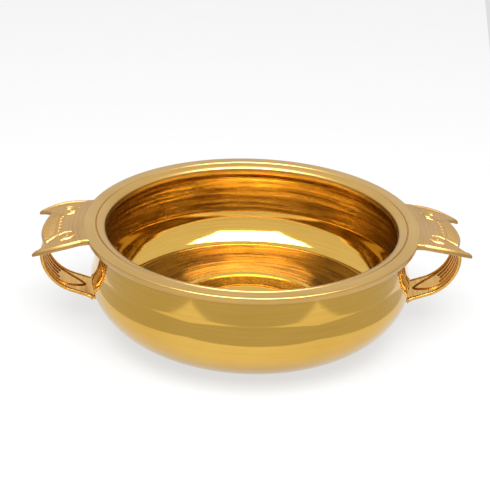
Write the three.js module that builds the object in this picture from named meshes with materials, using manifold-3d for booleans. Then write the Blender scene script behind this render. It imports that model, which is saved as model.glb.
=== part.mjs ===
// Brass urli bowl: a turned cast bowl with two cast handles.
// Each handle is a flat fish-tailed plate on the rim and a ribbed strap that
// curves from the bowl's side up to the plate's outer end. Brazing metal holds
// the pieces together. Units are mm, +Z is up, +X runs out through the right
// handle, and the origin is the centre of the foot, on the table.
import * as THREE from 'three';
import { mergeVertices } from 'three/addons/utils/BufferGeometryUtils.js';
import Module from 'manifold-3d';

const wasm = await Module();
wasm.setup();

// Bowl
const HEIGHT = 65.5;            // table to the top of the rim
const RIM_RADIUS = 100;         // outer edge of the rim
const BELLY_RADIUS = 95.6;      // widest part of the body
const BELLY_HEIGHT = 32;
const NECK_RADIUS = 93.7;       // straight part under the rim
const NECK_HEIGHT = 45;
const NECK_TOP_RADIUS = 92.9;   // the neck narrows a little up to the rim
const NECK_TOP_DROP = 7;        // and ends this far below the rim's top
const FOOT_RADIUS = 62;         // outer edge of the flat ring the bowl stands on
const FOOT_INNER = 56;
const FOOT_HOLLOW = 1.8;        // depth of the turned recess inside that ring
const BODY_FULLNESS = 0.685;    // power of the curve from foot to belly
const FLOOR_HEIGHT = 8.2;       // inside floor above the table
const INSIDE_CURVE = [          // radius and height, from the floor up to the widest part inside
  [50, FLOOR_HEIGHT], [60, 8.5], [68, 9.4], [76, 11.2], [81, 13],
  [84.7, 16], [87.6, 20], [90.1, 25], [92.2, 31],
];
const INSIDE_NECK_RADIUS = 90.8;
const INSIDE_NECK_HEIGHT = 44;
const STEP_RADIUS = 48;         // small step down to the middle of the floor
const STEP_HALF = 1.3;
const STEP_DROP = 0.9;
const DISH_RADIUS = 33;         // shallow dish in the very middle
const DISH_FLAT = 20;           // radius of the dish's flat middle
const DISH_DROP = 3.4;
const RIM_DEPTH = 4.4;          // height of the rim's outer face
const RIM_ROUND = 0.8;          // its edges are eased by about this much
const MOUTH_RADIUS = 86.5;
const MOUTH_DROP = 3.6;         // the mouth's edge below the rim's top
const LAND_RADIUS = 92.2;       // inner edge of the rim's flat top, where a groove runs
const LIP_RADIUS = 88.4;        // the land slopes gently in to here, then rolls over to the mouth
const LIP_DROP = 0.9;
const LIP_UNDERCUT = 3;         // the inside goes back under the mouth by this much
const LIP_DEPTH = 5;            // over this height
const GROOVE_HALF = 0.35;
const GROOVE_DEPTH = 0.4;
const TURNS = 84;               // facets around the bowl
const WALL_STEPS = 10;
const INSIDE_STEPS = 12;
const NECK_STEPS = 4;
const BAR_SIDES = 6;            // facets around a rounded ridge or groove

// Handle plate
const PLATE_THICK = 2.8;
const PLATE_HALF_ROOT = 29.5;   // half width at the rim
const PLATE_HALF_TIP = 27;      // half width at the horn tips
const PLATE_BULGE = 2;          // how much the side edges bow out between the two
const PLATE_TOP = 64.3;         // top of the plate where it meets the rim
const PLATE_SLOPE = 0.12;
const PLATE_CURL = 0.0053;      // how fast the plate bends down, per mm
const PLATE_TWIST = 0.0017;     // and how fast it twists, per mm out and across
const HORN_TIP_X = 128;
const NOTCH_X = 120.5;          // root of the notch between horn and tail
const NOTCH_Y = 17.6;
const TAIL_X = 124.6;           // outermost point of the tail's arc
const COLLAR_RADIUS = 103.9;    // raised band that follows the rim
const COLLAR_RISE = 0.7;
const BORDER_RADIUS = 1.2;      // rounded ridge on the plate's side edges
const BEAD_ROW_X = 113.8;
const BEAD_PITCH = 4.2;
const BEAD_COUNT = 5;
const BEAD_RADIUS = 1.1;
const TAIL_RIBS = 7;
const RIB_RADIUS = 0.55;
const EYE_X = 108.6;
const EYE_Y = 17.4;
const EYE_RADIUS = 3;

// Handle strap
const STRAP_HALF = 12;          // half width
const STRAP_THICK = 2;
const STRAP_BORDER = 2;         // width of the raised edge on the inner face
const STRAP_RISE = 0.4;
const STRAP_EASE = 0.7;         // its long edges are eased by this much
const BEND_X = 98.9;            // centre of the strap's bend
const BEND_Z = 47.8;
const BEND_RADIUS = 25.2;       // to the middle of the strap
const FOOT_SLOPE = 18.4;        // degrees, the straight part running to the bowl
const CURL_TURN = 84;           // degrees of turn where the bend tightens, under the plate
const CURL_RADIUS = 13;
const TOP_TURN = 122;           // degrees of turn where the strap runs straight up to the plate
const TOP_RUN = 6;
const STRAP_FOOT_X = 88;        // where its line starts, inside the bowl's side
const GROOVE_RADIUS = 0.7;
const STRAP_GROOVES = 3;
const STRAP_STEPS = 12;         // facets round the bend

const GAP = 0.15;               // between pieces that are brazed together
const BRAZE_WIDE = 1.8;         // how far the brazing stands off the strap, at its foot
const BRAZE_THIN = 0.4;         // and where it runs out
const FOOT_BRAZE_RUN = 9.6;     // how far up the strap that is

const BRASS = { color: 0xc8a04e, roughness: 0.28, metalness: 1 };
const CAST_BRASS = { color: 0xbd9a5c, roughness: 0.4, metalness: 1 };
const BRAZING = { color: 0xb8923f, roughness: 0.5, metalness: 1 };

const radians = THREE.MathUtils.degToRad;
const at = (x, y) => new THREE.Vector2(x, y);

// --- solids ---------------------------------------------------------------

function solidFrom(geometry) {
  const bare = new THREE.BufferGeometry();
  bare.setAttribute('position', geometry.getAttribute('position'));
  bare.setIndex(geometry.getIndex());
  const welded = mergeVertices(bare, 1e-4);
  return new wasm.Manifold(new wasm.Mesh({
    numProp: 3,
    vertProperties: new Float32Array(welded.getAttribute('position').array),
    triVerts: new Uint32Array(welded.getIndex().array),
  }));
}

function geometryFrom(solid) {
  const mesh = solid.getMesh();
  const geometry = new THREE.BufferGeometry();
  geometry.setAttribute('position', new THREE.BufferAttribute(mesh.vertProperties, 3));
  geometry.setIndex(new THREE.BufferAttribute(mesh.triVerts, 1));
  geometry.computeVertexNormals();
  return geometry;
}

function turned(outline) {
  const geometry = new THREE.LatheGeometry(outline, TURNS);
  geometry.rotateX(Math.PI / 2);
  return solidFrom(geometry);
}

function box(low, high) {
  const size = new THREE.Vector3().subVectors(high, low);
  const geometry = new THREE.BoxGeometry(size.x, size.y, size.z);
  geometry.translate((low.x + high.x) / 2, (low.y + high.y) / 2, (low.z + high.z) / 2);
  return solidFrom(geometry);
}

// A closed skin over a grid of points: rings[i][j], joined around j and capped
// at both ends with a fan.
function loft(rings) {
  const count = rings[0].length;
  const positions = rings.flat().flatMap((p) => [p.x, p.y, p.z]);
  const index = [];
  for (let i = 0; i + 1 < rings.length; i += 1) {
    for (let j = 0; j < count; j += 1) {
      const a = i * count + j;
      const b = i * count + ((j + 1) % count);
      index.push(a, b, a + count, b, b + count, a + count);
    }
  }
  const last = (rings.length - 1) * count;
  for (let j = 1; j + 1 < count; j += 1) {
    index.push(0, j + 1, j, last, last + j, last + j + 1);
  }
  const geometry = new THREE.BufferGeometry();
  geometry.setAttribute('position', new THREE.Float32BufferAttribute(positions, 3));
  geometry.setIndex(index);
  return solidFrom(geometry);
}

// A round bar along a line of points.
function bar(points, radius, steps = 6) {
  const round = new THREE.EllipseCurve(0, 0, radius, radius).getPoints(BAR_SIDES);
  const section = new THREE.Shape(round.slice(0, BAR_SIDES));
  const path = new THREE.CatmullRomCurve3(points);
  return solidFrom(new THREE.ExtrudeGeometry(section, { extrudePath: path, steps, bevelEnabled: false }));
}

// --- bowl -----------------------------------------------------------------

// From the edge of a flat bottom up to the widest radius. Both ends are (radius, height).
function sideCurve(flat, widest, fullness) {
  const points = [];
  for (let i = 0; i <= WALL_STEPS; i += 1) {
    const below = Math.cos((i / WALL_STEPS) * (Math.PI / 2));
    points.push(at(
      flat.x + (widest.x - flat.x) * (1 - below * below) ** fullness,
      flat.y + (widest.y - flat.y) * (1 - below),
    ));
  }
  return points;
}

// From the widest radius in to the neck, by a smooth S.
function neckCurve(widest, neck) {
  const points = [];
  for (let i = 1; i <= NECK_STEPS; i += 1) {
    const climb = i / NECK_STEPS;
    const ease = climb * climb * (3 - 2 * climb);
    points.push(at(
      widest.x + (neck.x - widest.x) * ease,
      widest.y + (neck.y - widest.y) * climb,
    ));
  }
  return points;
}

function outerOutline() {
  const faceBottom = HEIGHT - RIM_DEPTH;
  const belly = at(BELLY_RADIUS, BELLY_HEIGHT);
  return [
    at(0, FOOT_HOLLOW),
    at(FOOT_INNER - FOOT_HOLLOW, FOOT_HOLLOW),
    at(FOOT_INNER, 0),
    ...sideCurve(at(FOOT_RADIUS, 0), belly, BODY_FULLNESS),
    ...neckCurve(belly, at(NECK_RADIUS, NECK_HEIGHT)),
    at(NECK_TOP_RADIUS, HEIGHT - NECK_TOP_DROP),
    at(NECK_TOP_RADIUS + RIM_ROUND, faceBottom - 2 * RIM_ROUND),
    at((NECK_TOP_RADIUS + RIM_RADIUS) / 2, faceBottom - RIM_ROUND),
    at(RIM_RADIUS - RIM_ROUND, faceBottom),
    at(RIM_RADIUS, HEIGHT - RIM_ROUND),
    at(RIM_RADIUS - RIM_ROUND, HEIGHT),
  ];
}

// From the step in the floor in to the middle of the dish.
function floorOutline() {
  const middle = FLOOR_HEIGHT - STEP_DROP;
  return [
    at(STEP_RADIUS - STEP_HALF, middle),
    at(DISH_RADIUS, middle),
    at(DISH_FLAT, middle - DISH_DROP),
    at(0, middle - DISH_DROP),
  ];
}

function innerOutline() {
  const mouth = HEIGHT - MOUTH_DROP;
  const curve = new THREE.SplineCurve(INSIDE_CURVE.map(([radius, height]) => at(radius, height)));
  const points = curve.getPoints(INSIDE_STEPS).reverse();
  return [
    at(LAND_RADIUS + GROOVE_HALF, HEIGHT),
    at(LAND_RADIUS, HEIGHT - GROOVE_DEPTH),
    at(LAND_RADIUS - GROOVE_HALF, HEIGHT),
    at(LIP_RADIUS, HEIGHT - LIP_DROP),
    at(MOUTH_RADIUS + RIM_ROUND / 2, mouth + 2 * RIM_ROUND),
    at(MOUTH_RADIUS, mouth),
    at(MOUTH_RADIUS, mouth - RIM_ROUND),
    at(MOUTH_RADIUS + LIP_UNDERCUT, mouth - LIP_DEPTH),
    ...neckCurve(points[0], at(INSIDE_NECK_RADIUS, INSIDE_NECK_HEIGHT)).reverse(),
    ...points,
    ...floorOutline(),
  ];
}

function bowlShell() {
  return turned([...outerOutline(), ...innerOutline()]);
}

// The space the bowl fills, grown a little: handles are fitted against it.
function bowlSpace(clearance) {
  const grown = outerOutline().map((p) => at(p.x > 0 ? p.x + clearance : 0, p.y));
  const above = HEIGHT + 5;
  return turned([...grown, at(RIM_RADIUS, above), at(0, above)]);
}

// --- handle plate ---------------------------------------------------------

function plateTop(x, y) {
  const out = x - RIM_RADIUS;
  return PLATE_TOP - PLATE_SLOPE * out - PLATE_CURL * out ** 2 - PLATE_TWIST * out * y;
}

function plateHalf(x) {
  const along = (x - RIM_RADIUS) / (HORN_TIP_X - RIM_RADIUS);
  const bow = 4 * along * (1 - along);
  return PLATE_HALF_ROOT + (PLATE_HALF_TIP - PLATE_HALF_ROOT) * along * along + PLATE_BULGE * bow;
}

// Outer end of the plate at a fraction of its half width: the tail's arc in the
// middle, then each horn rising to its tip.
function plateEnd(across) {
  const side = Math.abs(across);
  const notch = NOTCH_Y / PLATE_HALF_TIP;
  if (side <= notch) {
    return TAIL_X - (TAIL_X - NOTCH_X) * (side / notch) ** 2;
  }
  return NOTCH_X + (HORN_TIP_X - NOTCH_X) * ((side - notch) / (1 - notch)) ** 1.4;
}

const onPlate = (x, y, lift = 0) => new THREE.Vector3(x, y, plateTop(x, y) + lift);

// The plate without its ornament, from inside the rim to its outer end.
function plateBlank() {
  const rows = 9;
  const columns = 18;
  const start = RIM_RADIUS - 7;
  const rings = [];
  for (let j = 0; j <= columns; j += 1) {
    const across = -1 + (2 * j) / columns;
    const end = plateEnd(across);
    const top = [];
    const bottom = [];
    for (let i = 0; i <= rows; i += 1) {
      const x = start + ((end - start) * i) / rows;
      const y = across * plateHalf(x);
      top.push(onPlate(x, y));
      bottom.push(onPlate(x, y, -PLATE_THICK));
    }
    rings.push([...top, ...bottom.reverse()]);
  }
  return loft(rings);
}

// Everything above the plate's underside: what is brazed there is cut by this.
function abovePlate() {
  const reach = HORN_TIP_X + 10;
  const rings = [-1, 1].map((side) => {
    const under = [];
    for (let x = RIM_RADIUS - 10; x <= reach; x += 2) {
      under.push(onPlate(x, side * RIM_RADIUS, -PLATE_THICK - GAP));
    }
    const ceiling = HEIGHT + 10;
    return [
      new THREE.Vector3(RIM_RADIUS - 10, side * RIM_RADIUS, ceiling),
      new THREE.Vector3(reach, side * RIM_RADIUS, ceiling),
      ...under.reverse(),
    ];
  });
  return loft(rings);
}

function collar() {
  const low = plateTop(COLLAR_RADIUS, 0) - 1;
  const high = plateTop(COLLAR_RADIUS, 0) + COLLAR_RISE;
  const ring = turned([
    at(RIM_RADIUS - 2, low),
    at(COLLAR_RADIUS, low),
    at(COLLAR_RADIUS, high - 0.3),
    at(COLLAR_RADIUS - 0.3, high),
    at(RIM_RADIUS - 2, high + 0.4),
    at(RIM_RADIUS - 2, low),
  ]);
  const width = plateHalf(RIM_RADIUS) - BORDER_RADIUS;
  return ring.intersect(box(
    new THREE.Vector3(RIM_RADIUS / 2, -width, low - 1),
    new THREE.Vector3(COLLAR_RADIUS + 1, width, high + 1),
  ));
}

function border(side) {
  const points = [];
  for (const x of [RIM_RADIUS - 2, RIM_RADIUS + 3, RIM_RADIUS + 11, RIM_RADIUS + 19, HORN_TIP_X - 2]) {
    points.push(onPlate(x, side * (plateHalf(x) - BORDER_RADIUS), -0.3));
  }
  return bar(points, BORDER_RADIUS, 8);
}

function eye(side) {
  const ring = [];
  for (let i = 0; i <= 8; i += 1) {
    const turn = (i / 8) * Math.PI * 2;
    ring.push([EYE_X + EYE_RADIUS * Math.cos(turn), side * (EYE_Y + 0.7 * EYE_RADIUS * Math.sin(turn))]);
  }
  const half = ring.slice(0, 5).map(([x, y]) => onPlate(x, y));
  const otherHalf = ring.slice(4).map(([x, y]) => onPlate(x, y));
  return bar(half, RIB_RADIUS, 4).add(bar(otherHalf, RIB_RADIUS, 4)).add(bead(EYE_X, side * EYE_Y, BEAD_RADIUS));
}

function brow(side) {
  return bar([
    onPlate(BEAD_ROW_X - 0.6, side * 10.6),
    onPlate(BEAD_ROW_X + 3.2, side * 16.4),
    onPlate(HORN_TIP_X - 4, side * 22.8),
  ], 0.8);
}

function bead(x, y, radius) {
  const geometry = new THREE.SphereGeometry(radius, BAR_SIDES, 4);
  geometry.translate(x, y, plateTop(x, y));
  return solidFrom(geometry);
}

function tailRib(place) {
  const start = BEAD_ROW_X + 1.6;
  const reach = plateEnd((place * 4.6) / PLATE_HALF_TIP) - 0.8;
  return bar([
    onPlate(start, place * 2.9),
    onPlate((start + reach) / 2, place * 3.8),
    onPlate(reach, place * 4.6),
  ], RIB_RADIUS, 3);
}

function handlePlate() {
  let plate = plateBlank().add(collar());
  for (const side of [-1, 1]) {
    plate = plate.add(border(side)).add(eye(side)).add(brow(side));
  }
  for (let i = 0; i < BEAD_COUNT; i += 1) {
    plate = plate.add(bead(BEAD_ROW_X, (i - (BEAD_COUNT - 1) / 2) * BEAD_PITCH, BEAD_RADIUS));
  }
  for (let i = 0; i < TAIL_RIBS; i += 1) {
    plate = plate.add(tailRib(i - (TAIL_RIBS - 1) / 2));
  }
  return plate.subtract(bowlSpace(GAP));
}

// --- handle strap ---------------------------------------------------------

// The strap's middle line at a turn: a wide bend, tighter past CURL_TURN. The
// turn is also the direction the inner face looks.
function bendStation(turn) {
  const curl = radians(CURL_TURN);
  const radius = turn > curl ? CURL_RADIUS : BEND_RADIUS;
  return {
    x: BEND_X + (BEND_RADIUS - radius) * Math.sin(curl) + radius * Math.sin(turn),
    z: BEND_Z - (BEND_RADIUS - radius) * Math.cos(curl) - radius * Math.cos(turn),
    facing: turn,
  };
}

// A station further along the straight line that leaves another one.
function runOn(station, run) {
  return {
    x: station.x + run * Math.cos(station.facing),
    z: station.z + run * Math.sin(station.facing),
    facing: station.facing,
  };
}

// Straight out of the bowl, round the bends, and straight up to the plate.
function strapStations() {
  const slope = radians(FOOT_SLOPE);
  const sweep = radians(TOP_TURN) - slope;
  const bend = [];
  for (let i = 0; i <= STRAP_STEPS; i += 1) {
    bend.push(bendStation(slope + (sweep * i) / STRAP_STEPS));
  }
  const foot = runOn(bend[0], (STRAP_FOOT_X - bend[0].x) / Math.cos(slope));
  return [foot, ...bend, runOn(bend[STRAP_STEPS], TOP_RUN)];
}

// A point off a station: across the strap, and out of its inner face.
function offStation(station, across, out) {
  return new THREE.Vector3(
    station.x - out * Math.sin(station.facing),
    across,
    station.z + out * Math.cos(station.facing),
  );
}

function ribbon(stations, section) {
  return loft(stations.map((station) => section.map((p) => offStation(station, p.x, p.y))));
}

function strapSection() {
  const edge = STRAP_HALF - STRAP_BORDER;
  const face = STRAP_THICK / 2;
  return [
    at(STRAP_HALF - STRAP_EASE, -face), at(STRAP_HALF, STRAP_EASE - face), at(STRAP_HALF, face),
    at(STRAP_HALF - STRAP_EASE, face + STRAP_RISE), at(edge, face), at(-edge, face),
    at(STRAP_EASE - STRAP_HALF, face + STRAP_RISE), at(-STRAP_HALF, face),
    at(-STRAP_HALF, STRAP_EASE - face), at(STRAP_EASE - STRAP_HALF, -face),
  ];
}

function plainSection(halfWidth, halfThick) {
  return [
    at(halfWidth, -halfThick), at(halfWidth, halfThick), at(-halfWidth, halfThick), at(-halfWidth, -halfThick),
  ];
}

// Long grooves down the inner face, and the pointed leaf outline around them.
function strapGrooves(stations) {
  const face = STRAP_THICK / 2;
  const cuts = [];
  const upper = stations.slice(-10);
  for (let i = 0; i < STRAP_GROOVES; i += 1) {
    const across = (i - (STRAP_GROOVES - 1) / 2) * 3.4;
    cuts.push(bar(upper.map((s) => offStation(s, across, face)), GROOVE_RADIUS, 9));
  }
  for (const side of [-1, 1]) {
    const outline = stations.slice(1).map((s, i) => {
      const along = Math.min(1, i / 5);
      return offStation(s, side * 7.6 * Math.sin((along * Math.PI) / 2), face);
    });
    cuts.push(bar(outline, GROOVE_RADIUS, 12));
  }
  return cuts;
}

function handleStrap() {
  const stations = strapStations();
  let strap = ribbon(stations, strapSection());
  for (const cut of strapGrooves(stations)) {
    strap = strap.subtract(cut);
  }
  return strap.subtract(bowlSpace(GAP)).subtract(abovePlate());
}

// --- brazing --------------------------------------------------------------

// Under the plate, along the rim's lower edge.
function rimBraze() {
  const top = HEIGHT - RIM_DEPTH + 1;
  const wedge = turned([
    at(NECK_RADIUS, top - 4.4), at(RIM_RADIUS + 2.6, top), at(NECK_RADIUS, top), at(NECK_RADIUS, top - 4.4),
  ]);
  const stretch = box(
    new THREE.Vector3(RIM_RADIUS / 2, -PLATE_HALF_ROOT + 3, top - 6),
    new THREE.Vector3(RIM_RADIUS + 4, PLATE_HALF_ROOT - 3, top + 1),
  );
  return wedge.intersect(stretch).subtract(bowlSpace(GAP)).subtract(abovePlate());
}

// A collar around a short run of the strap, growing from one size to another.
function strapBraze(start, startGrow, end, endGrow) {
  const half = STRAP_THICK / 2;
  const rings = [[start, startGrow], [end, endGrow]].map(([station, grow]) => {
    const section = plainSection(STRAP_HALF + grow, half + STRAP_RISE + grow);
    return section.map((p) => offStation(station, p.x, p.y));
  });
  const hole = plainSection(STRAP_HALF + GAP, half + STRAP_RISE + GAP);
  return loft(rings).subtract(ribbon(strapStations(), hole));
}

function footBraze() {
  const foot = strapStations()[0];
  const far = runOn(foot, FOOT_BRAZE_RUN);
  return strapBraze(foot, BRAZE_WIDE, far, BRAZE_THIN).subtract(bowlSpace(GAP));
}

function tipBraze() {
  const stations = strapStations();
  return strapBraze(stations[STRAP_STEPS], BRAZE_THIN, stations[STRAP_STEPS + 1], BRAZE_WIDE).subtract(abovePlate());
}

// --- assembly -------------------------------------------------------------

function piece(name, solid, finish, halfTurn = false) {
  const geometry = geometryFrom(solid);
  if (halfTurn) {
    geometry.rotateZ(Math.PI);
  }
  const mesh = new THREE.Mesh(geometry, new THREE.MeshStandardMaterial(finish));
  mesh.name = name;
  return mesh;
}

function build() {
  const group = new THREE.Group();
  group.name = 'urli_bowl';
  group.add(piece('bowl_shell', bowlShell(), BRASS));
  const handle = [
    ['handle_plate', handlePlate(), CAST_BRASS],
    ['handle_strap', handleStrap(), CAST_BRASS],
    ['rim_braze', rimBraze(), BRAZING],
    ['foot_braze', footBraze(), BRAZING],
    ['tip_braze', tipBraze(), BRAZING],
  ];
  for (const [name, solid, finish] of handle) {
    group.add(piece(`${name}_right`, solid, finish));
    group.add(piece(`${name}_left`, solid, finish, true));
  }
  return group;
}

export default build();
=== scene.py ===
"""Brass urli bowl: fine surfaces, brass materials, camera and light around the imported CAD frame."""

import math

import bpy
import numpy as np
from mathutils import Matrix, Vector


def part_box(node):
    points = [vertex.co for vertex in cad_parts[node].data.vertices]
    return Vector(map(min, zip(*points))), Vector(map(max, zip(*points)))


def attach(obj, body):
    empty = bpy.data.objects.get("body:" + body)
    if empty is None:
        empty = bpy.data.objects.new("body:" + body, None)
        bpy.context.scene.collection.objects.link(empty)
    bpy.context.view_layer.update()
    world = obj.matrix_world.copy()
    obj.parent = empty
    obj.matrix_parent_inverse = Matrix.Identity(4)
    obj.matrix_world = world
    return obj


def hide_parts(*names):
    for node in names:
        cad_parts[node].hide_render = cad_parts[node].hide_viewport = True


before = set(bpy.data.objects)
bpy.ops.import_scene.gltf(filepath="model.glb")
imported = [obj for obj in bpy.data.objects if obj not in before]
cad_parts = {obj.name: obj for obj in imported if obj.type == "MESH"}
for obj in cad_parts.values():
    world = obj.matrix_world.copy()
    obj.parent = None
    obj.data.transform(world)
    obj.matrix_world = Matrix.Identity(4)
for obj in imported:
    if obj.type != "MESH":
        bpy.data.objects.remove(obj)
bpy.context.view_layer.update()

MM = 0.001

# --- sizes read from the frame, in mm -------------------------------------------------

BOWL_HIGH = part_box("bowl_shell")[1]
PLATE_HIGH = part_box("handle_plate_right")[1]
STRAP_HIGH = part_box("handle_strap_right")[1]

HEIGHT = BOWL_HIGH.z / MM
RIM_RADIUS = BOWL_HIGH.x / MM
HORN_TIP_X = PLATE_HIGH.x / MM
STRAP_HALF = STRAP_HIGH.y / MM

# --- sizes repeated from the CAD source, in mm ----------------------------------------

BELLY_RADIUS = 95.6
BELLY_HEIGHT = 32.0
NECK_RADIUS = 93.7
NECK_HEIGHT = 45.0
NECK_TOP_RADIUS = 92.9
NECK_TOP_DROP = 7.0
FOOT_RADIUS = 62.0
FOOT_INNER = 56.0
FOOT_HOLLOW = 1.8
BODY_FULLNESS = 0.685
FLOOR_HEIGHT = 8.2
INSIDE_CURVE = [
    (50, FLOOR_HEIGHT), (60, 8.5), (68, 9.4), (76, 11.2), (81, 13),
    (84.7, 16), (87.6, 20), (90.1, 25), (92.2, 31),
]
INSIDE_NECK_RADIUS = 90.8
INSIDE_NECK_HEIGHT = 44.0
STEP_RADIUS = 48.0
STEP_HALF = 1.3
STEP_DROP = 0.9
DISH_RADIUS = 33.0
DISH_FLAT = 20.0
DISH_DROP = 3.4
RIM_DEPTH = 4.4
MOUTH_RADIUS = 86.5
MOUTH_DROP = 3.6
LAND_RADIUS = 92.2
LIP_RADIUS = 88.4
LIP_DROP = 0.9

PLATE_THICK = 2.8
PLATE_HALF_ROOT = 29.5
PLATE_HALF_TIP = 27.0
PLATE_TOP = 64.3
PLATE_SLOPE = 0.12
PLATE_CURL = 0.0053
PLATE_TWIST = 0.0017
PLATE_BULGE = 2.0
NOTCH_X = 120.5
NOTCH_Y = 17.6
TAIL_X = 124.6
COLLAR_RADIUS = 103.9
COLLAR_RISE = 0.7
BEAD_ROW_X = 113.8
BEAD_PITCH = 4.2
BEAD_COUNT = 5
EYE_X = 108.6
EYE_Y = 17.4

STRAP_THICK = 2.0
STRAP_RISE = 0.4
BEND_X = 98.9
BEND_Z = 47.8
BEND_RADIUS = 25.2
FOOT_SLOPE = math.radians(18.4)
CURL_TURN = math.radians(84)
CURL_RADIUS = 13.0
TOP_TURN = math.radians(122)
BRAZE_WIDE = 1.8

# --- sizes of the fine surfaces alone, in mm ------------------------------------------

BOWL_TURNS = 360                # points round the bowl
WALL_STEP = 0.7                 # longest step down the wall under the mouth
COVE_DROP = 1.6                 # the neck bends out to the rim this far below the rim's face
FACE_LEAN = 1.2                 # the rim's face leans in by this much at its foot
FACE_LAP = 0.4                  # which is this far lower than in the CAD
FACE_TOP_DROP = 0.3             # and its top edge is this far below the rim's top
FINE_GROOVE_RADIUS = 97.1       # fine groove turned in the rim's flat top
FINE_GROOVE_HALF = 0.3
FINE_GROOVE_DEPTH = 0.12
LAND_GROOVE_HALF = 0.6          # wider groove at the flat top's inner edge
LAND_GROOVE_DEPTH = 1.0
MOUTH_HEIGHT = HEIGHT - MOUTH_DROP
MOUTH_HALF = 1.6                # half height of the mouth's upright edge

WAVE_LENGTHS = (3.1, 4.7, 7.3, 11.9, 18.0)
WAVE_SEED = 7
WAVE_SLOPE = 0.006              # steepness of the hand-turned waves inside
STREAK_SLOPE = 0.05             # and in the coarsely turned band under the rim
STREAKS_BOTTOM = 32.0           # that band is above this height
STREAKS_BLEND = 3.0             # its waves grow over this height
FLOOR_TOP = 12.5                # the floor with its painted dark reflections is below this height

PLATE_ROWS = 180                # points out along the plate
PLATE_COLUMNS = 300             # and across it
PLATE_ROOT_X = RIM_RADIUS - 2.6
PLATE_EDGE = 0.9                # the plate's edges are rounded by this much
RIM_LAP = 0.9                   # its cast fillet laps this far over the rim's rounded edge
RIM_BLEND = 2.6                 # and falls away over this width
FILLET_DROP = 0.1               # from this far below the rim's top
RIBS_START_X = BEAD_ROW_X + 1.2
RIBS_RISE = 0.42
BEAD_RISE = 0.8
BEAD_SPREAD = 1.9               # a bead's mound ends this far from its middle

BROW_LINE = [                   # ridges as (x, distance from the plate's middle line)
    (BEAD_ROW_X - 1.2, 9.8), (BEAD_ROW_X + 1.0, 14.2), (BEAD_ROW_X + 5.4, 18.6), (HORN_TIP_X - 4.6, 22.2),
]
LASH_LINE = [(EYE_X - 5.0, 18.6), (EYE_X - 1.6, 21.6), (EYE_X + 3.0, 22.4)]
LID_LINE = [(EYE_X - 2.6, 13.0), (EYE_X + 1.6, 12.4), (EYE_X + 4.6, 14.6)]

STRAP_ROWS = 260                # points along the strap
STRAP_COLUMNS = 200             # and across it
STRAP_FOOT_X = 91.2             # the strap starts inside the bowl's wall
TOP_RUN = 4.7                   # and ends after this straight run, inside the plate
LEAF_TIP_RUN = 8.5              # distances up the strap: the leaf's point, its full width, the long grooves
LEAF_FULL_RUN = 26.0
GROOVES_RUN = 26.6
LEAF_HALF = 7.9
STRAP_GROOVES = (-4.0, 0.0, 4.0)
STRAP_GROOVE_DEPTH = 1.2
BORDER_Y = 10.8                 # middle of the strap's raised edge

FOOT_BRAZE_RUNS = (2.9, 8.5)    # where the brazing starts and ends, up the strap
TIP_BRAZE_RUNS = (4.5, 0.6)     # and before the strap's top
BRAZE_SINK = 0.05               # its thin end is this far inside the strap
RIM_BRAZE_REACH = 2.2           # the brazing under the plate reaches this far past the rim
RIM_BRAZE_DEPTH = 4.0


# --- meshes ---------------------------------------------------------------------------

def mesh_object(name, points, faces):
    """An object from points in mm and faces, with smooth shading."""
    mesh = bpy.data.meshes.new(name)
    mesh.from_pydata((np.asarray(points) * MM).tolist(), [], faces)
    mesh.validate()
    mesh.polygons.foreach_set("use_smooth", [True] * len(mesh.polygons))
    mesh.update()
    piece = bpy.data.objects.new(name, mesh)
    bpy.context.scene.collection.objects.link(piece)
    return piece


def grid_faces(rows, columns, wrap_columns=False, start=0):
    """Quads over a grid of points stored row by row."""
    faces = []
    last = columns if wrap_columns else columns - 1
    for i in range(rows - 1):
        for j in range(last):
            k = (j + 1) % columns
            a = start + i * columns
            faces.append((a + j, a + k, a + columns + k, a + columns + j))
    return faces


def grid_border(rows, columns):
    """The grid's outer points in order, once round."""
    walk = [(0, j) for j in range(columns)]
    walk += [(i, columns - 1) for i in range(1, rows)]
    walk += [(rows - 1, j) for j in range(columns - 2, -1, -1)]
    walk += [(i, 0) for i in range(rows - 2, 0, -1)]
    return [i * columns + j for i, j in walk]


def straight(start, end, steps):
    """Evenly spaced points from start to end."""
    return list(np.linspace(start, end, steps + 1))


def finer(line, step):
    """The same line with points no more than a step apart."""
    out = [line[0]]
    for start, end in zip(line, line[1:]):
        out += straight(start, end, math.ceil(np.linalg.norm(end - start) / step))[1:]
    return out


def rounded(corners, steps=5):
    """A polyline through (r, z, reach) corners, each eased over its own reach."""
    line = []
    count = len(corners)
    for i, (r, z, reach) in enumerate(corners):
        here = np.array((r, z))
        if reach == 0 or i in (0, count - 1):
            line.append(here)
            continue
        before = np.array(corners[i - 1][:2]) - here
        after = np.array(corners[i + 1][:2]) - here
        cut = min(reach, np.linalg.norm(before) * 0.49, np.linalg.norm(after) * 0.49)
        start = here + before / np.linalg.norm(before) * cut
        end = here + after / np.linalg.norm(after) * cut
        for k in range(steps + 1):
            t = k / steps
            line.append((1 - t) ** 2 * start + 2 * t * (1 - t) * here + t * t * end)
    return line


def smooth_line(points, count):
    """Catmull-Rom line through points."""
    p = np.array(points, float)
    p = np.vstack([2 * p[0] - p[1], p, 2 * p[-1] - p[-2]])
    out = []
    spans = len(p) - 3
    for k in range(count + 1):
        s = min(k / count * spans, spans - 1e-9)
        i = int(s)
        t = s - i
        a, b, c, d = p[i:i + 4]
        out.append(0.5 * (2 * b + (c - a) * t + (2 * a - 5 * b + 4 * c - d) * t ** 2
                          + (3 * b - a - 3 * c + d) * t ** 3))
    return np.array(out)


def ease(t):
    """A smooth S from 0 to 1."""
    return t * t * (3 - 2 * t)


def bump(distance, width):
    """A smooth mound: 1 at distance 0, 0 beyond width."""
    return ease(np.clip(1 - np.abs(distance) / width, 0, 1))


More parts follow.
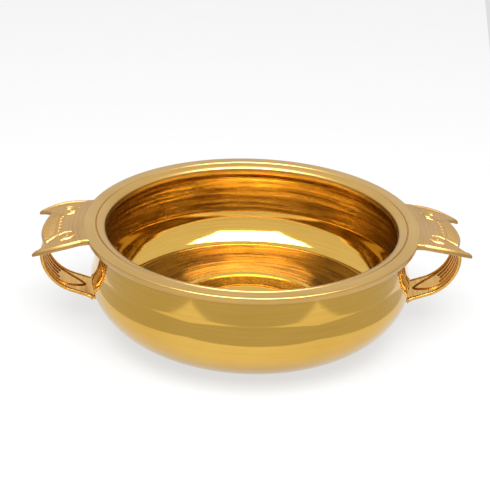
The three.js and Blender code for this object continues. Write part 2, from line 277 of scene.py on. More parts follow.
def round_fall(edge, radius):
    """How far a rounded-over surface has dropped, at a distance in from its edge."""
    inward = np.clip(radius - edge, 0, radius)
    return radius - np.sqrt(radius ** 2 - inward ** 2)


# --- bowl -----------------------------------------------------------------------------

def side_curve(flat, widest, fullness, steps=60):
    """From the edge of a flat bottom up to the widest radius; both ends are (radius, height)."""
    below = np.cos(np.linspace(0, math.pi / 2, steps + 1))
    radius = flat[0] + (widest[0] - flat[0]) * (1 - below ** 2) ** fullness
    height = flat[1] + (widest[1] - flat[1]) * (1 - below)
    return list(np.stack([radius, height], -1))


def neck_curve(widest, neck, steps=24):
    """From just above the widest radius in to the neck, by a smooth S."""
    climb = np.linspace(0, 1, steps + 1)[1:]
    radius = widest[0] + (neck[0] - widest[0]) * ease(climb)
    height = widest[1] + (neck[1] - widest[1]) * climb
    return list(np.stack([radius, height], -1))


def foot_outline():
    """From the middle of the underside out to the foot ring's outer edge."""
    foot = rounded([
        (0, FOOT_HOLLOW, 0),
        (20, FOOT_HOLLOW, 0),
        (FOOT_INNER - 2, FOOT_HOLLOW, 1.0),
        (FOOT_INNER, 0, 0.4),
        (FOOT_RADIUS, 0, 0),
    ])
    return foot[:-1]


def outside_outline():
    """From the foot ring up the belly to the top of the neck."""
    belly = (BELLY_RADIUS, BELLY_HEIGHT)
    neck = (NECK_RADIUS, NECK_HEIGHT)
    line = side_curve((FOOT_RADIUS, 0), belly, BODY_FULLNESS)
    line += neck_curve(belly, neck)
    return line + straight(neck, (NECK_TOP_RADIUS, HEIGHT - NECK_TOP_DROP), 12)[1:]


def top_groove(radius, half, depth):
    """Corners of a groove turned in the rim's flat top, from its outer side in."""
    return [(radius + half, HEIGHT, 0.3), (radius, HEIGHT - depth, 0.2), (radius - half, HEIGHT, 0.3)]


def rim_outline():
    """From the neck's top out to the rim's face, over its flat top and in to the mouth."""
    face_bottom = HEIGHT - RIM_DEPTH
    rim = rounded([
        (NECK_TOP_RADIUS, HEIGHT - NECK_TOP_DROP, 0),
        (NECK_TOP_RADIUS, face_bottom - COVE_DROP, 2.0),
        (RIM_RADIUS - FACE_LEAN, face_bottom - FACE_LAP, 1.2),
        (RIM_RADIUS, HEIGHT - FACE_TOP_DROP, 0.9),
        *top_groove(FINE_GROOVE_RADIUS, FINE_GROOVE_HALF, FINE_GROOVE_DEPTH),
        *top_groove(LAND_RADIUS, LAND_GROOVE_HALF, LAND_GROOVE_DEPTH),
        (LIP_RADIUS, HEIGHT - LIP_DROP, 1.2),
        (MOUTH_RADIUS + 0.4, MOUTH_HEIGHT + MOUTH_HALF, 0.8),
        (MOUTH_RADIUS, MOUTH_HEIGHT - MOUTH_HALF, 0),
    ])
    return rim[1:]


def floor_curve():
    """The inside floor, from just outside its small step in to the middle of the dish."""
    radius = np.linspace(INSIDE_CURVE[0][0], 0, 160)
    climb = np.clip((radius - STEP_RADIUS + STEP_HALF) / (2 * STEP_HALF), 0, 1)
    height = FLOOR_HEIGHT - STEP_DROP + STEP_DROP * ease(climb)
    dish = np.clip((DISH_RADIUS - radius) / (DISH_RADIUS - DISH_FLAT), 0, 1)
    height -= DISH_DROP * (dish - 0.1 * np.sin(2 * math.pi * dish))
    return list(np.stack([radius, height], -1))


def inside_outline():
    """From the mouth down under it, down the wall and in over the floor to the middle."""
    neck = (INSIDE_NECK_RADIUS, INSIDE_NECK_HEIGHT)
    undercut = rounded([
        (MOUTH_RADIUS, MOUTH_HEIGHT - MOUTH_HALF, 0),
        (MOUTH_RADIUS + 0.2, MOUTH_HEIGHT - 2.4, 0.8),
        (MOUTH_RADIUS + 3.2, MOUTH_HEIGHT - 5.8, 2.5),
        (*neck, 0),
    ])
    undercut = finer(undercut[1:], WALL_STEP)
    wall = list(smooth_line(INSIDE_CURVE, 200)[::-1])
    return undercut[:-1] + neck_curve(wall[0], neck)[::-1] + wall[:-1] + floor_curve()


def hand_turned(outline):
    """The same line with the slight waves that a hand-held turning tool leaves."""
    line = np.array(outline)
    step = np.hypot(*np.diff(line, axis=0).T)
    run = np.concatenate([[0], np.cumsum(step)])
    wave = np.zeros(len(line))
    rng = np.random.default_rng(WAVE_SEED)
    coarse = np.clip((line[:, 1] - STREAKS_BOTTOM) / STREAKS_BLEND, 0, 1)
    slope = WAVE_SLOPE + (STREAK_SLOPE - WAVE_SLOPE) * coarse
    for length in WAVE_LENGTHS:
        depth = slope * length / (2 * math.pi) * rng.uniform(0.5, 1.0)
        phase = rng.uniform(0, 6.3)
        wave += depth * np.sin(2 * math.pi * run / length + phase)
    along = np.gradient(line, axis=0)
    along /= np.hypot(*along.T)[:, None]
    normal = np.stack([along[:, 1], -along[:, 0]], -1)
    fade = np.clip(run / 6, 0, 1) * np.clip((run[-1] - run) / 10, 0, 1)
    return list(line + normal * (wave * fade)[:, None])


def bowl_outline():
    """The bowl's section as (zone, points), from the middle underneath round to the middle inside."""
    inside = hand_turned(inside_outline())
    radius, height = np.array(inside).T
    wall_end = np.count_nonzero(height > STREAKS_BOTTOM)
    floor_start = np.count_nonzero(height >= FLOOR_TOP)
    on_floor = (height < FLOOR_TOP) & (radius > STEP_RADIUS + STEP_HALF)
    floor_end = floor_start + np.count_nonzero(on_floor)
    return [
        ("foot", foot_outline()),
        ("outside", outside_outline()),
        ("rim", rim_outline()),
        ("wall", inside[:wall_end]),
        ("smooth", inside[wall_end:floor_start]),
        ("floor", inside[floor_start:floor_end]),
        ("smooth", inside[floor_end:]),
    ]


def make_bowl():
    """The bowl, and the zone that each of its faces is in."""
    outline = []
    zone_of_row = []
    for zone, points in bowl_outline():
        outline += points
        zone_of_row += [zone] * len(points)
    outline = np.array(outline)
    angle = np.linspace(0, 2 * math.pi, BOWL_TURNS, endpoint=False)
    rings = outline[1:-1]
    points = np.stack([
        rings[:, 0:1] * np.cos(angle),
        rings[:, 0:1] * np.sin(angle),
        np.repeat(rings[:, 1:2], BOWL_TURNS, 1),
    ], -1).reshape(-1, 3)
    rows = len(rings)
    faces = grid_faces(rows, BOWL_TURNS, wrap_columns=True)
    zone_of_face = []
    for i in range(rows - 1):
        zone_of_face += [zone_of_row[i + 2]] * BOWL_TURNS
    points = np.vstack([points, [0, 0, outline[0, 1]], [0, 0, outline[-1, 1]]])
    under = rows * BOWL_TURNS
    top_row = (rows - 1) * BOWL_TURNS
    for j in range(BOWL_TURNS):
        k = (j + 1) % BOWL_TURNS
        faces.append((under, k, j))
        faces.append((under + 1, top_row + j, top_row + k))
        zone_of_face += ["foot", "smooth"]
    return mesh_object("bowl", points, faces), zone_of_face


# --- handle plate ---------------------------------------------------------------------

def plate_top(x, y):
    """Height of the plain plate's top face."""
    out = x - RIM_RADIUS
    return PLATE_TOP - PLATE_SLOPE * out - PLATE_CURL * out ** 2 - PLATE_TWIST * out * y


def plate_half(x):
    """Half width of the plate."""
    along = (x - RIM_RADIUS) / (HORN_TIP_X - RIM_RADIUS)
    bow = 4 * np.clip(along * (1 - along), 0, 1)
    return PLATE_HALF_ROOT + (PLATE_HALF_TIP - PLATE_HALF_ROOT) * along * np.abs(along) + PLATE_BULGE * bow


def plate_end(across):
    """Outer end of the plate at a share of its half width: tail's arc, then horn."""
    side = np.abs(across)
    notch = NOTCH_Y / PLATE_HALF_TIP
    tail = TAIL_X - (TAIL_X - NOTCH_X) * (side / notch) ** 2
    horn = NOTCH_X + (HORN_TIP_X - NOTCH_X) * (np.clip(side - notch, 0, 1) / (1 - notch)) ** 1.4
    return np.where(side <= notch, tail, horn)


def distance_to_curve(x, y, points):
    """Distance from each (x, y) to a smooth curve through points, and how far along it is."""
    line = smooth_line(points, 40)
    best = np.full(x.shape, 1e9)
    along = np.zeros(x.shape)
    for i in range(len(line) - 1):
        a, b = line[i], line[i + 1]
        ab = b - a
        t = np.clip(((x - a[0]) * ab[0] + (y - a[1]) * ab[1]) / (ab @ ab), 0, 1)
        d = np.hypot(x - a[0] - t * ab[0], y - a[1] - t * ab[1])
        closer = d < best
        best = np.where(closer, d, best)
        along = np.where(closer, (i + t) / (len(line) - 1), along)
    return best, along


def curved_ridge(x, side, line, rise, thin, swell):
    """A ridge along a line, thin at its ends and wider by swell in its middle."""
    distance, along = distance_to_curve(x, side, line)
    return rise * bump(distance, thin + swell * np.sin(np.pi * along))


def collar(x, y):
    """The raised band that follows the rim, with a lower step outside it."""
    radius = np.hypot(x, y)
    band = COLLAR_RISE * np.clip((COLLAR_RADIUS - radius) / 0.6, 0, 1)
    step = 0.3 * np.clip((COLLAR_RADIUS + 2.2 - radius) / 0.6, 0, 1)
    return np.maximum(band, step)


def side_border(x, side):
    """The rounded ridge along each side edge, lower towards the horn."""
    horn = np.clip((x - BEAD_ROW_X) / (HORN_TIP_X - BEAD_ROW_X), 0, 1)
    return 0.75 * bump(plate_half(x) - side - 1.3, 1.6) * (1 - 0.5 * horn)


def eye(x, side):
    """A ring round a pupil; the ring is highest on two opposite sides."""
    turn = np.arctan2(side - EYE_Y, x - EYE_X)
    ring = np.hypot((x - EYE_X) / 1.15, side - EYE_Y) - 2.7
    ring_rise = 0.45 + 0.25 * np.cos(2 * (turn - 0.7))
    pupil = 0.75 * bump(np.hypot(x - EYE_X, side - EYE_Y), 1.9)
    return np.maximum(ring_rise * bump(ring, 1.0), pupil)


def beads(x, y):
    """A row of oval beads across the plate."""
    row = [(i - (BEAD_COUNT - 1) / 2) * BEAD_PITCH for i in range(BEAD_COUNT)]
    mounds = [bump(np.hypot((x - BEAD_ROW_X) / 1.25, y - place), BEAD_SPREAD) for place in row]
    return BEAD_RISE * np.maximum.reduce(mounds)


def tail_ribs(x, y):
    """Fine ribs that fan from the row of beads out to the tail's arc."""
    out = (x - RIBS_START_X) / (TAIL_X - RIBS_START_X)
    pitch = 2.3 + 0.9 * np.clip(out, 0, 1)
    wave = 0.5 + 0.5 * np.cos(2 * np.pi * y / pitch)
    inside = np.clip((10.0 + (x - BEAD_ROW_X) * 0.8 - np.abs(y)) / 1.2, 0, 1)
    return RIBS_RISE * wave * inside * np.clip(out * 6, 0, 1)


def plate_relief(x, y):
    """Height of the cast ornament above the plain plate, in mm."""
    side = np.abs(y)
    return np.maximum.reduce([
        collar(x, y),
        side_border(x, side),
        curved_ridge(x, side, BROW_LINE, 0.9, 0.8, 0.7),
        curved_ridge(x, side, LASH_LINE, 0.8, 0.5, 0.8),
        curved_ridge(x, side, LID_LINE, 0.6, 0.4, 0.6),
        eye(x, side),
        beads(x, y),
        tail_ribs(x, y),
    ])


def plate_plan():
    """The plate's grid from the rim out, closer together near its edges: x, y and its outer end."""
    even = np.linspace(-1, 1, PLATE_COLUMNS)
    across = 0.5 * np.sin(even * math.pi / 2) + 0.5 * even
    end = plate_end(across)
    even = np.linspace(0, 1, PLATE_ROWS)
    share = 0.5 * (1 - (1 - even) ** 1.5) + 0.5 * even
    rough_y = across * plate_half(PLATE_ROOT_X + np.outer(share, end - PLATE_ROOT_X))
    rim_face = np.sqrt(np.clip((RIM_RADIUS - RIM_LAP) ** 2 - rough_y ** 2, 0, None))
    x = rim_face + share[:, None] * (end - rim_face)
    return x, across * plate_half(x), end


def make_plate(name):
    """The plate: an ornamented top and a plain underside over one grid, joined round its border."""
    x, y, end = plate_plan()
    edge = np.minimum(plate_half(x) - np.abs(y), (end - x) * 0.85)
    fall = round_fall(edge, PLATE_EDGE)
    flat = plate_top(x, y)
    middle = flat - PLATE_THICK / 2
    top = flat + plate_relief(x, y) * np.clip(edge / 0.6, 0, 1) - fall
    top = np.maximum(top, middle + 0.2)
    blend = np.clip(1 - (np.hypot(x, y) - RIM_RADIUS) / RIM_BLEND, 0, 1) ** 2 * np.clip(edge / 1.5, 0, 1)
    top = np.minimum(top + (HEIGHT - FILLET_DROP - top) * blend, HEIGHT)
    bottom = np.minimum(flat - PLATE_THICK + fall, middle - 0.2)
    upper = np.stack([x, y, top], -1).reshape(-1, 3)
    lower = np.stack([x, y, bottom], -1).reshape(-1, 3)
    count = len(upper)
    faces = [tuple(reversed(face)) for face in grid_faces(PLATE_ROWS, PLATE_COLUMNS)]
    faces += grid_faces(PLATE_ROWS, PLATE_COLUMNS, start=count)
    walk = grid_border(PLATE_ROWS, PLATE_COLUMNS)
    for a, b in zip(walk, walk[1:] + walk[:1]):
        faces.append((a, b, b + count, a + count))
    return mesh_object(name, np.vstack([upper, lower]), faces)


# --- handle strap ---------------------------------------------------------------------

def strap_point(turn):
    """The strap's middle at a turn: a wide bend, tighter past CURL_TURN."""
    radius = CURL_RADIUS if turn > CURL_TURN else BEND_RADIUS
    shift = BEND_RADIUS - radius
    return (
        BEND_X + shift * math.sin(CURL_TURN) + radius * math.sin(turn),
        BEND_Z - shift * math.cos(CURL_TURN) - radius * math.cos(turn),
    )


def strap_line(steps):
    """Stations of x, z, turn and run along the strap's middle, and its whole run.

    The turn is the slope of the strap there, and the run is the distance from its foot.
    """
    bend_x = strap_point(FOOT_SLOPE)[0]
    straight_run = (bend_x - STRAP_FOOT_X) / math.cos(FOOT_SLOPE)
    bend_run = BEND_RADIUS * (CURL_TURN - FOOT_SLOPE)
    curl_run = CURL_RADIUS * (TOP_TURN - CURL_TURN)
    total = straight_run + bend_run + curl_run + TOP_RUN
    stations = []
    for run in np.linspace(0, total, steps + 1):
        if run < straight_run:
            turn = FOOT_SLOPE
            past = run - straight_run
        elif run < straight_run + bend_run:
            turn = FOOT_SLOPE + (run - straight_run) / BEND_RADIUS
            past = 0
        else:
            turn = min(TOP_TURN, CURL_TURN + (run - straight_run - bend_run) / CURL_RADIUS)
            past = max(0, run - (total - TOP_RUN))
        x, z = strap_point(turn)
        stations.append((x + past * math.cos(turn), z + past * math.sin(turn), turn, run))
    return np.array(stations), total


def strap_relief(run, y):
    """Ornament on the strap's inner face: raised edges, a leaf outline and long grooves."""
    side = np.abs(y)
    opening = np.clip((run - LEAF_TIP_RUN) / (LEAF_FULL_RUN - LEAF_TIP_RUN), 0, 1)
    leaf_half = LEAF_HALF * np.sin(opening * math.pi / 2) ** 0.8
    past_tip = np.clip((run - LEAF_TIP_RUN + 0.8) / 0.8, 0, 1)
    relief = STRAP_RISE * bump(side - BORDER_Y, 1.7)
    relief = relief - STRAP_GROOVE_DEPTH * past_tip * bump(side - leaf_half, 1.5)
    for place in STRAP_GROOVES:
        start = GROOVES_RUN + 1.2 * (place == 0)
        from_start = np.where(run < start, np.hypot(run - start, y - place), np.abs(y - place))
        relief = relief - STRAP_GROOVE_DEPTH * bump(from_start, 1.6)
    return relief


def make_strap(name):
    """The strap: an ornamented inner face and a plain outer face, swept along its line."""
    stations = strap_line(STRAP_ROWS)[0]
    x, z, turn, run = (stations[:, k:k + 1] for k in range(4))
    even = np.linspace(-1, 1, STRAP_COLUMNS)
    across = STRAP_HALF * (0.35 * np.sin(even * math.pi / 2) + 0.65 * even)
    y = across[None, :] + 0 * run
    edge = STRAP_HALF - np.abs(y)
    inner = STRAP_THICK / 2 + strap_relief(run, y) - round_fall(edge, 0.6)
    outer = -STRAP_THICK / 2 + round_fall(edge, 1.2)

    def surface(out):
        """Points that stand off the strap's middle by out, towards its inner face."""
        return np.stack([x - out * np.sin(turn), y, z + out * np.cos(turn)], -1)

    ring = np.concatenate([surface(inner), surface(outer)[:, ::-1]], 1)
    count = ring.shape[1]
    faces = grid_faces(STRAP_ROWS + 1, count, wrap_columns=True)
    faces.append(tuple(range(count)))
    faces.append(tuple(STRAP_ROWS * count + k for k in reversed(range(count))))
    return mesh_object(name, ring.reshape(-1, 3), faces)


# --- brazing --------------------------------------------------------------------------

def strap_fillet(name, runs, grows):
    """A smooth skin round the strap that stands off it by each of grows, at each of runs."""
    fine = strap_line(400)[0]
    angle = np.linspace(0, 2 * math.pi, 96, endpoint=False)
    rings = []
    for run, grow in zip(runs, grows):
        x, z, turn = (np.interp(run, fine[:, 3], fine[:, k]) for k in range(3))
        half_wide = STRAP_HALF + grow
        half_thick = STRAP_THICK / 2 + grow
        power = 0.35 + 0.25 * min(grow / BRAZE_WIDE, 1)
        across = half_wide * np.sign(np.cos(angle)) * np.abs(np.cos(angle)) ** power
        out = half_thick * np.sign(np.sin(angle)) * np.abs(np.sin(angle)) ** power
        rings.append(np.stack([x - out * math.sin(turn), across, z + out * math.cos(turn)], -1))
    count = len(angle)
    faces = grid_faces(len(rings), count, wrap_columns=True)
    faces.append(tuple(range(count)))
    faces.append(tuple((len(rings) - 1) * count + k for k in reversed(range(count))))
    return mesh_object(name, np.concatenate(rings), faces)


def hollow_fall(steps=14):
    """A quarter-round hollow, from 1 down to 0."""
    share = np.linspace(0, 1, steps)
    return 1 - np.sqrt(1 - (1 - share) ** 2)


def make_foot_braze(name):
    """The fillet round the strap's foot, wide where it meets the bowl."""
    fall = hollow_fall()
    runs = np.linspace(*FOOT_BRAZE_RUNS, len(fall))
    return strap_fillet(name, runs, BRAZE_WIDE * fall - BRAZE_SINK)


def make_tip_braze(name):
    """The fillet round the strap's top, wide where it meets the plate."""
    fall = hollow_fall()[::-1]
    total = strap_line(1)[1]
    start, end = TIP_BRAZE_RUNS
    runs = np.linspace(total - start, total - end, len(fall))
    return strap_fillet(name, runs, BRAZE_WIDE * fall - BRAZE_SINK)


def make_rim_braze(name):
    """A hollow fillet under the plate, along the rim's lower edge."""
    top = HEIGHT - RIM_DEPTH + 0.4
    sweep = math.asin((PLATE_HALF_ROOT - 3.5) / RIM_RADIUS)
    bend = np.linspace(0, math.pi / 2, 10)
    radius = NECK_RADIUS + 0.3 + (RIM_RADIUS + RIM_BRAZE_REACH - NECK_RADIUS) * (1 - np.cos(bend))
    height = top - RIM_BRAZE_DEPTH * (1 - np.sin(bend))
    section = np.stack([radius, height], -1)
    section = np.vstack([section, (RIM_RADIUS, top + 0.2), (NECK_RADIUS, top - 0.6)])
    rings = []
    for angle in np.linspace(-sweep, sweep, 60):
        fade = 1 - 0.45 * abs(angle / sweep) ** 6
        ring = np.array([NECK_RADIUS, top]) + (section - [NECK_RADIUS, top]) * fade
        rings.append(np.stack([ring[:, 0] * math.cos(angle), ring[:, 0] * math.sin(angle), ring[:, 1]], -1))
    count = len(section)
    faces = [tuple(reversed(face)) for face in grid_faces(len(rings), count, wrap_columns=True)]
    faces.append(tuple(reversed(range(count))))
    faces.append(tuple((len(rings) - 1) * count + k for k in range(count)))
    return mesh_object(name, np.concatenate(rings), faces)


# --- materials ------------------------------------------------------------------------

POLISHED_LIGHT = (0.65, 0.395, 0.070)
POLISHED_DARK = (0.60, 0.350, 0.055)
# the wall's colours are painted reflections: its light streaks are painted highlights, its dark streaks
# painted dark reflections
WALL_PAINTED_HIGHLIGHT = (0.88, 0.60, 0.15)
WALL_PAINTED_DARK_REFLECTION = (0.20, 0.08, 0.010)
# the inside floor's colours are darkened as painted dark reflections, in streaks along its turning lines
FLOOR_PAINTED_REFLECTION_LIGHT = (0.36, 0.20, 0.035)
FLOOR_PAINTED_REFLECTION_DARK = (0.09, 0.035, 0.005)
SATIN_LIGHT = (0.56, 0.35, 0.105)
SATIN_DARK = (0.46, 0.28, 0.075)
CAST_LIGHT = (0.50, 0.30, 0.10)
CAST_DARK = (0.40, 0.23, 0.065)
# the strap's colours are the cast brass made brighter: painted light on the strap in the plate's shade,
# shared by the foot and tip brazing
STRAP_PAINTED_LIT_LIGHT = (0.78, 0.46, 0.12)
STRAP_PAINTED_LIT_DARK = (0.56, 0.29, 0.05)

STREAK_SCALE = 18               # turning lines change over 1/18 m along the ring
GRAIN_SCALE = 900.0
PATCH_SCALE = 22.0
RING_SHARE = 0.6                # the colour follows the turning lines by this share, patches by the rest
TINT_LOW = 0.40                 # the noise's range that takes the colour from light to dark
TINT_HIGH = 0.60


class Nodes:
    """Short calls for a node tree."""

    def __init__(self, tree):
        self.tree = tree

    def add(self, kind, **settings):
        """A new node; a setting is an input's value if an input has that name."""
        node = self.tree.nodes.new(kind)
        for key, value in settings.items():
            if key in node.inputs:
                node.inputs[key].default_value = value
            else:
                setattr(node, key, value)
        return node

    def link(self, source, target):
        self.tree.links.new(source, target)

    def math(self, operation, a, b=None):
        node = self.add("ShaderNodeMath", operation=operation)
        for slot, value in zip(node.inputs, (a, b)):
            if value is None:
                continue
            if isinstance(value, (int, float)):
                slot.default_value = value
            else:
                self.link(value, slot)
        return node.outputs[0]

    def remap(self, value, from_low=0, from_high=1, low=0, high=1):
        node = self.add("ShaderNodeMapRange")
        self.link(value, node.inputs["Value"])
        ends = {"From Min": from_low, "From Max": from_high, "To Min": low, "To Max": high}
        for name, end in ends.items():
            node.inputs[name].default_value = end
        return node.outputs["Result"]

    def noise(self, place, scale, detail, roughness=0.5):
        node = self.add("ShaderNodeTexNoise", Scale=scale, Detail=detail, Roughness=roughness)
        self.link(place, node.inputs["Vector"])
        return node.outputs["Fac"]

    def bump(self, height, depth, normal=None):
        node = self.add("ShaderNodeBump", Strength=1.0, Distance=depth * MM)
        self.link(height, node.inputs["Height"])
        if normal is not None:
            self.link(normal, node.inputs["Normal"])
        return node.outputs["Normal"]


def turning_lines(nodes, place, ring_scale):
    """Noise drawn out into rings round the bowl's axis."""
    split = nodes.add("ShaderNodeSeparateXYZ")
    nodes.link(place, split.inputs[0])
    x, y, z = split.outputs
    x_squared = nodes.math("MULTIPLY", x, x)
    y_squared = nodes.math("MULTIPLY", y, y)
    radius = nodes.math("SQRT", nodes.math("ADD", x_squared, y_squared))
    climb = nodes.math("ADD", radius, z)
    ring_place = nodes.add("ShaderNodeCombineXYZ")
    nodes.link(nodes.math("MULTIPLY", x, STREAK_SCALE), ring_place.inputs[0])
    nodes.link(nodes.math("MULTIPLY", y, STREAK_SCALE), ring_place.inputs[1])
    nodes.link(nodes.math("MULTIPLY", climb, ring_scale), ring_place.inputs[2])
    return nodes.noise(ring_place.outputs[0], 1.0, 6.0, 0.7)


def brass(name, light, dark, roughness, ring_scale, ring_depth, grain_depth, coat):
    """Turned or cast brass: rings round the bowl's axis, fine grain, patches of tarnish. In the wall's and
    floor's finishes, the colour along the rings and patches is painted reflection.

    roughness is its lowest and highest value, and the two depths are in mm.
    """
    material = bpy.data.materials.new(name)
    material.use_nodes = True
    nodes = Nodes(material.node_tree)
    shader = material.node_tree.nodes["Principled BSDF"]
    shader.inputs["Metallic"].default_value = 1.0
    shader.inputs["Coat Weight"].default_value = coat
    shader.inputs["Coat Roughness"].default_value = roughness[0]
    place = nodes.add("ShaderNodeTexCoord").outputs["Object"]
    rings = turning_lines(nodes, place, ring_scale)
    grain = nodes.noise(place, GRAIN_SCALE, 4.0, 0.6)
    patches = nodes.noise(place, PATCH_SCALE, 5.0, 0.55)
    ring_part = nodes.math("MULTIPLY", rings, RING_SHARE)
    patch_part = nodes.math("MULTIPLY", patches, 1 - RING_SHARE)
    blend = nodes.math("ADD", ring_part, patch_part)
    mix = nodes.add("ShaderNodeMix", data_type="RGBA")
    nodes.link(nodes.remap(blend, from_low=TINT_LOW, from_high=TINT_HIGH), mix.inputs["Factor"])
    mix.inputs["A"].default_value = (*light, 1)
    mix.inputs["B"].default_value = (*dark, 1)
    nodes.link(mix.outputs["Result"], shader.inputs["Base Color"])
    nodes.link(nodes.remap(blend, low=roughness[0], high=roughness[1]), shader.inputs["Roughness"])
    ring_bump = nodes.bump(rings, ring_depth)
    nodes.link(nodes.bump(grain, grain_depth, ring_bump), shader.inputs["Normal"])
    return material


def bowl_finishes():
    """The bowl's brass by zone; the foot has the outside's."""
    outside = brass(
        "brass_outside", POLISHED_LIGHT, POLISHED_DARK, roughness=(0.05, 0.12),
        ring_scale=900, ring_depth=0.004, grain_depth=0.001, coat=0.35,
    )
    rim = brass(
        "brass_rim", SATIN_LIGHT, SATIN_DARK, roughness=(0.24, 0.34),
        ring_scale=2600, ring_depth=0.012, grain_depth=0.003, coat=0.12,
    )
    # the coarsely turned wall under the rim, with painted highlights and dark reflections along its turning
    # lines
    wall = brass(
        "brass_wall_painted_reflections", WALL_PAINTED_HIGHLIGHT, WALL_PAINTED_DARK_REFLECTION, roughness=(0.08, 0.18),
        ring_scale=520, ring_depth=0.34, grain_depth=0.002, coat=0.2,
    )
    smooth = brass(
        "brass_smooth", POLISHED_LIGHT, POLISHED_DARK, roughness=(0.05, 0.12),
        ring_scale=700, ring_depth=0.006, grain_depth=0.001, coat=0.5,
    )
    # the inside floor, darkened with painted dark reflections
    floor = brass(
        "brass_floor_painted_reflections", FLOOR_PAINTED_REFLECTION_LIGHT, FLOOR_PAINTED_REFLECTION_DARK, roughness=(0.16, 0.30),
        ring_scale=420, ring_depth=0.16, grain_depth=0.002, coat=0.1,
    )
    return {"outside": outside, "rim": rim, "wall": wall, "smooth": smooth, "floor": floor}


def cast_finish():
    return brass(
        "brass_cast", CAST_LIGHT, CAST_DARK, roughness=(0.30, 0.44),
        ring_scale=600, ring_depth=0.002, grain_depth=0.01, coat=0.12,
    )


def painted_lit_strap_finish():
    # a brighter copy of the cast brass, as painted light on the shaded strap
    return brass(
        "brass_strap_painted_lit", STRAP_PAINTED_LIT_LIGHT, STRAP_PAINTED_LIT_DARK, roughness=(0.16, 0.28),
        ring_scale=600, ring_depth=0.002, grain_depth=0.008, coat=0.12,
    )


# --- pieces ---------------------------------------------------------------------------

def dress(piece, slot, *nodes):
    """The piece stands for CAD nodes and rides with them."""
    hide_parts(*nodes)
    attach(piece, "root")


def place_bowl():
    """The bowl, with each zone of it in its own finish."""
    bowl, zones = make_bowl()
    finishes = bowl_finishes()
    for material in finishes.values():
        bowl.data.materials.append(material)
    index = {zone: i for i, zone in enumerate(finishes)}
    index["foot"] = index["outside"]
    bowl.data.polygons.foreach_set("material_index", [index[zone] for zone in zones])
    dress(bowl, "turned_brass", "bowl_shell")


def place_handles():
    """Both handles: the left one is the right one, half a turn round the bowl."""
    cast = cast_finish()
    strap = painted_lit_strap_finish()
    handle = [
        (make_plate, "handle_plate", "cast_brass", cast),
        (make_strap, "handle_strap", "cast_brass", strap),
        (make_rim_braze, "rim_braze", "brazing_metal", cast),
        (make_foot_braze, "foot_braze", "brazing_metal", strap),
        (make_tip_braze, "tip_braze", "brazing_metal", strap),
    ]
    for side, turn in (("right", 0.0), ("left", math.pi)):
        for make, part, slot, finish in handle:
            piece = make(f"{part}_{side}_fine")
            piece.rotation_euler.z = turn
            piece.data.materials.append(finish)
            dress(piece, slot, f"{part}_{side}")


# --- stage, light and camera ----------------------------------------------------------

SHEET_FRONT = -190.0            # the pale sheet in mm: its front edge and its back edge
SHEET_BACK = 2500.0
SHEET_HALF_FRONT = 139.0        # and its half width at each
SHEET_HALF_BACK = 515.0
SHEET_GREY = 0.12
SHEET_GLOW = 0.66

SKY_LOW = 0.74                  # the room's brightness at the level of the floor and below
SKY_HIGH = 1.05                 # and overhead
SKY_STEEP = 0.35                # the height of a one-unit direction where that is reached

LAMP_FRONT = -0.95              # the overhead lamp in m
LAMP_BACK = -0.05
LAMP_HEIGHT = 0.9
LAMP_WIDTH = 1.0
LAMP_POWER = 40.0               # watts for each square metre of it

CAMERA_TARGET = (-3.76, 0, 49.9)      # the point it looks at, in mm
CAMERA_DISTANCE = 0.941               # from there, in m
CAMERA_ELEVATION = math.radians(25.25)
CAMERA_AZIMUTH = math.radians(-2.5)
CAMERA_ROLL = math.radians(1.82)
SENSOR_WIDTH = 36.0                   # this and the lens length are in mm
LENS_LENGTH = 115.7143


def sheet_material():
    """Plain pale paper that glows a little, as a well lit studio sheet does."""
    material = bpy.data.materials.new("pale_floor")
    material.use_nodes = True
    nodes = Nodes(material.node_tree)
    shader = material.node_tree.nodes["Principled BSDF"]
    mottle = nodes.noise(nodes.add("ShaderNodeTexCoord").outputs["Object"], 30.0, 3.0)
    nodes.link(nodes.remap(mottle, low=0.50, high=0.60), shader.inputs["Roughness"])
    shader.inputs["Base Color"].default_value = (SHEET_GREY, SHEET_GREY, SHEET_GREY, 1)
    shader.inputs["Specular IOR Level"].default_value = 0.2
    shader.inputs["Emission Color"].default_value = (1, 1, 1, 1)
    shader.inputs["Emission Strength"].default_value = SHEET_GLOW
    return material


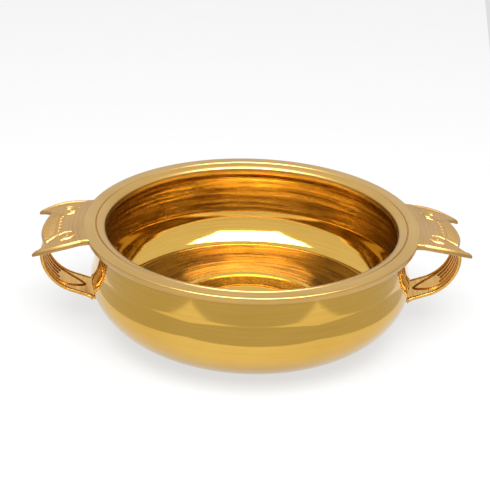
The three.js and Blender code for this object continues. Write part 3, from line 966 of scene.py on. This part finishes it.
def make_stage():
    """The pale sheet that the bowl stands on, wider towards its back."""
    corners = [
        (-SHEET_HALF_FRONT, SHEET_FRONT, 0), (SHEET_HALF_FRONT, SHEET_FRONT, 0),
        (SHEET_HALF_BACK, SHEET_BACK, 0), (-SHEET_HALF_BACK, SHEET_BACK, 0),
    ]
    floor = mesh_object("floor", corners, [(0, 1, 2, 3)])
    floor.data.materials.append(sheet_material())


def make_lamp():
    """A level overhead light in front of the bowl."""
    depth = LAMP_BACK - LAMP_FRONT
    lamp = bpy.data.lights.new("front_top", "AREA")
    lamp.shape = "RECTANGLE"
    lamp.size = LAMP_WIDTH
    lamp.size_y = depth
    lamp.energy = LAMP_POWER * LAMP_WIDTH * depth
    holder = bpy.data.objects.new("front_top", lamp)
    holder.location = (0, (LAMP_FRONT + LAMP_BACK) / 2, LAMP_HEIGHT)
    bpy.context.scene.collection.objects.link(holder)


def make_room():
    """A white room, a little brighter overhead."""
    world = bpy.data.worlds.new("studio")
    world.use_nodes = True
    nodes = Nodes(world.node_tree)
    background = world.node_tree.nodes["Background"]
    direction = nodes.add("ShaderNodeSeparateXYZ")
    nodes.link(nodes.add("ShaderNodeTexCoord").outputs["Generated"], direction.inputs[0])
    glow = nodes.remap(direction.outputs[2], from_high=SKY_STEEP, low=SKY_LOW, high=SKY_HIGH)
    nodes.link(glow, background.inputs["Strength"])
    background.inputs["Color"].default_value = (1, 1, 1, 1)
    bpy.context.scene.world = world


def make_camera():
    """A long lens in front of the bowl, a little above it."""
    target = Vector(CAMERA_TARGET) * MM
    back = Vector((
        math.sin(CAMERA_AZIMUTH) * math.cos(CAMERA_ELEVATION),
        -math.cos(CAMERA_AZIMUTH) * math.cos(CAMERA_ELEVATION),
        math.sin(CAMERA_ELEVATION),
    ))
    lens = bpy.data.cameras.new("camera")
    lens.sensor_width = SENSOR_WIDTH
    lens.lens = LENS_LENGTH
    lens.dof.use_dof = False
    camera = bpy.data.objects.new("camera", lens)
    camera.location = target + back * CAMERA_DISTANCE
    camera.rotation_euler = (-back).to_track_quat("-Z", "Y").to_euler()
    camera.rotation_euler.rotate_axis("Z", CAMERA_ROLL)
    bpy.context.scene.collection.objects.link(camera)
    bpy.context.scene.camera = camera


make_camera()
make_stage()
make_room()
make_lamp()
bpy.context.scene.view_settings.view_transform = "Standard"
place_bowl()
place_handles()
